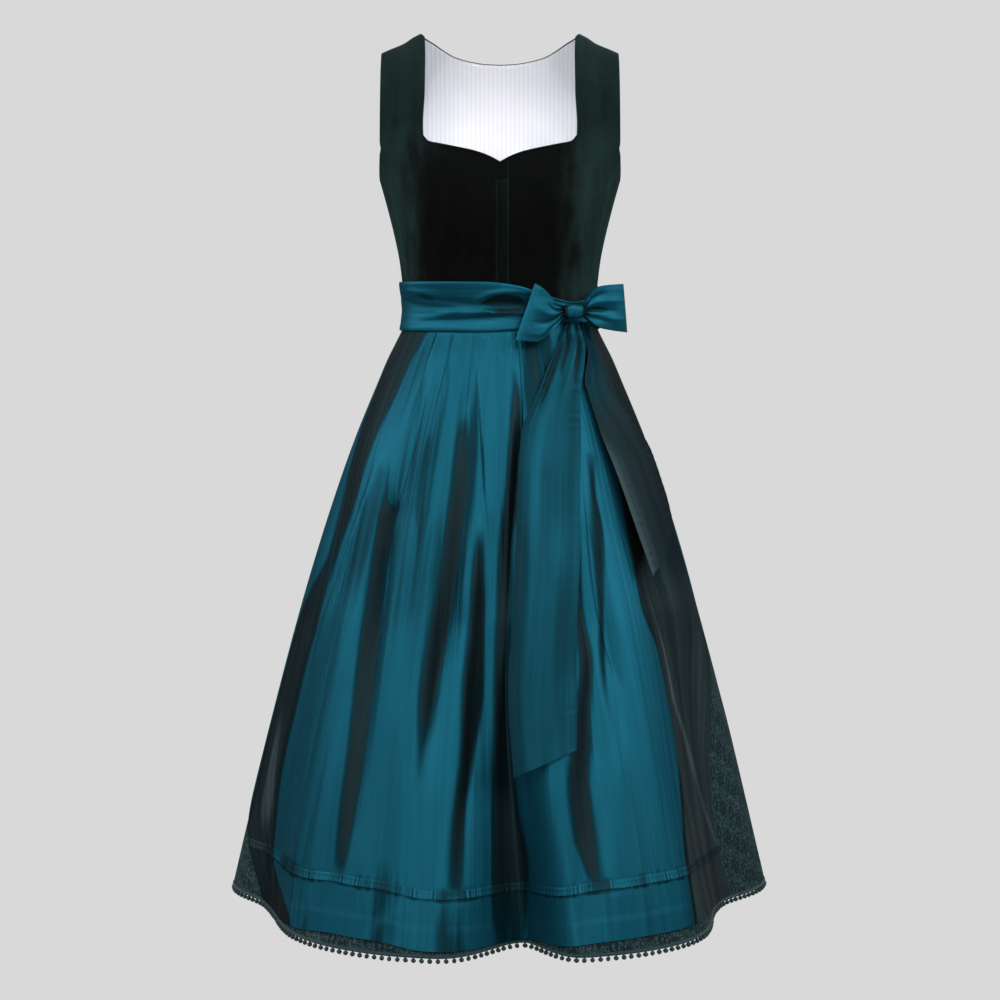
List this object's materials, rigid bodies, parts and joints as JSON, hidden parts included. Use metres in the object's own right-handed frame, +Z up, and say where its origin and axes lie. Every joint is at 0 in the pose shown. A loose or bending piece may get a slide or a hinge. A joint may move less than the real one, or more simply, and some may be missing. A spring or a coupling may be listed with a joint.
{
  "type": "dirndl dress",
  "caption": "Sleeveless dirndl dress as worn: velvet bodice with wide straps, brocade skirt with bobble trim, and a taffeta apron whose sash ties in a bow at the wearer's left.",
  "frame": {"origin": "the middle between the shoulder straps, level with their undersides at the neck, where the wearer's shoulders carry the dress", "axes": "+Z up; the front faces -Y; +X is the wearer's left"},
  "size_m": [0.7242, 0.7055, 1.141],
  "materials": {
    "velvet": "pile velvet",
    "lining": "matte striped cotton",
    "brocade": "figured jacquard",
    "taffeta": "shot taffeta sheen",
    "trim": "matte bobble braid"
  },
  "bodies": {
    "root": {"front_left": "velvet", "front_right": "velvet", "side_left": "velvet", "side_right": "velvet", "back": "velvet", "placket": "velvet", "back_lining": "lining", "skirt_front_left": "brocade", "skirt_front_right": "brocade", "skirt_side_left": "brocade", "skirt_side_right": "brocade", "skirt_back_left": "brocade", "skirt_back_right": "brocade", "hem_trim": "trim", "apron": "taffeta", "apron_tuck": "taffeta", "sash": "taffeta", "bow_loop_left": "taffeta", "bow_loop_right": "taffeta", "bow_knot": "taffeta", "tail_front": "taffeta", "tail_side": "taffeta"}
  },
  "joints": []
}
